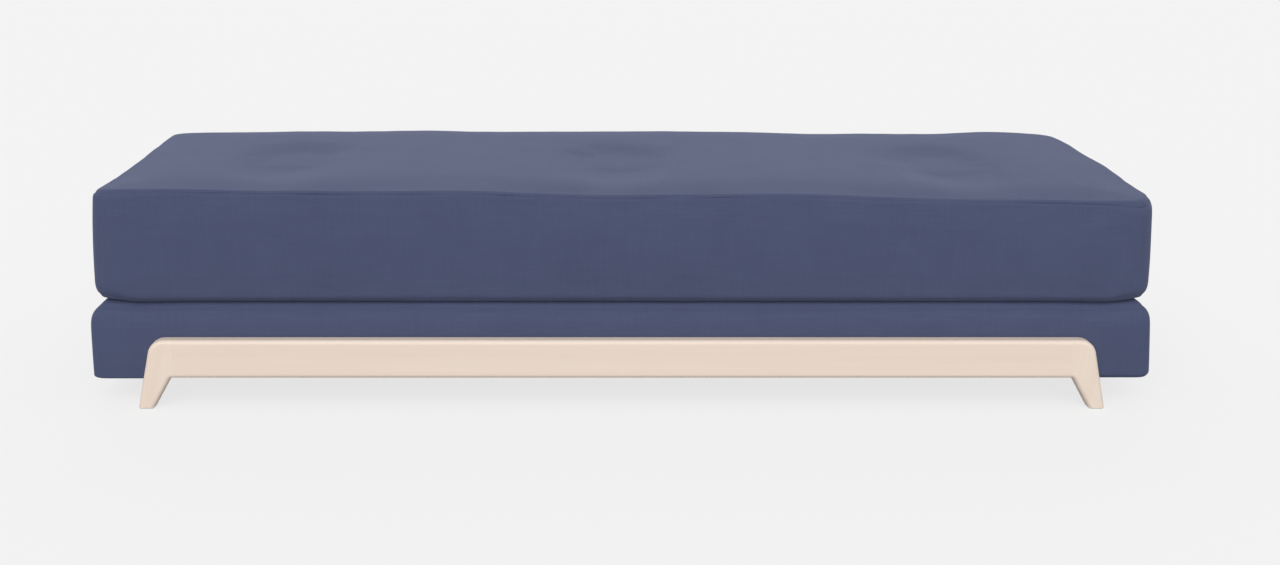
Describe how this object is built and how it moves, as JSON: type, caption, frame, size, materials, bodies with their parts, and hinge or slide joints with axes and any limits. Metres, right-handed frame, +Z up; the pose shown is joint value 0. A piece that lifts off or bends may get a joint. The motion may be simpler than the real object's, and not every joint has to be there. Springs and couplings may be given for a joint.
{
  "type": "sofa bed",
  "caption": "Low sofa bed: thick tufted mattress on an upholstered base with splayed wooden legs; the mattress folds out to the floor in front.",
  "frame": {"origin": "on the floor under the middle of the object", "axes": "+Z up, +X along the length, the front with the fold faces -Y"},
  "size_m": [2.07, 0.8742, 0.415],
  "materials": {
    "wood": "pale hardwood, matt clear lacquer",
    "board": "raw softwood and plywood",
    "slat": "laminated beech",
    "tenon": "fluted beech",
    "upholstery": "woven, matt, slate blue",
    "lining": "black non-woven lining",
    "felt": "grey needled felt",
    "foam": "polyurethane foam",
    "wadding": "polyester wadding",
    "glide": "moulded",
    "cap": "moulded",
    "steel": "zinc plated",
    "tape": "woven tufting tape",
    "zip_cloth": "woven zip tape",
    "zip_metal": "dark enamel"
  },
  "bodies": {
    "base": {"front_rail": "wood", "front_legs": "wood", "rear_rail": "wood", "rear_legs": "wood", "joint_tenons": "tenon", "leg_glides": "glide", "front_board": "board", "rear_board": "board", "left_board": "board", "right_board": "board", "cross_beams": "board", "corner_blocks": "board", "slat_ledges": "board", "coach_screws": "steel", "slats": "slat", "slat_holders": "cap", "slat_felt": "felt", "base_foam": "foam", "side_wadding": "wadding", "base_top_panel": "upholstery", "base_border": "upholstery", "dust_cover": "lining"},
    "flap": {"fold_flap": "upholstery"},
    "mattress": {"mattress_top_panel": "upholstery", "mattress_border": "upholstery", "mattress_bottom_panel": "upholstery", "comfort_layer": "foam", "mattress_core": "foam", "lower_layer": "foam", "tuft_toggles": "glide", "tuft_tapes": "tape", "zip_tape": "zip_cloth"},
    "slider": {"zip_slider": "zip_metal"},
    "pull": {"zip_pull": "zip_metal"}
  },
  "joints": [
    {"name": "flap_draw", "type": "slide", "parent": "base", "child": "flap", "axis": [0, -1, 0], "range_m": [0, 0.078]},
    {"name": "mattress_flip", "type": "hinge", "parent": "flap", "child": "mattress", "pos_m": [0, -0.386, 0.208], "axis": [1, 0, 0], "range_deg": [0, 180]},
    {"name": "zip_travel", "type": "slide", "parent": "mattress", "child": "slider", "axis": [1, 0, 0], "range_m": [0, 1.6]},
    {"name": "pull_swing", "type": "hinge", "parent": "slider", "child": "pull", "pos_m": [-0.8, 0.4104, 0.254], "axis": [0, 0, 1], "range_deg": [0, 180]}
  ],
  "couplings": [
    {"joint": "flap_draw", "follows": "mattress_flip", "m_per_rad": 0.024796}
  ]
}
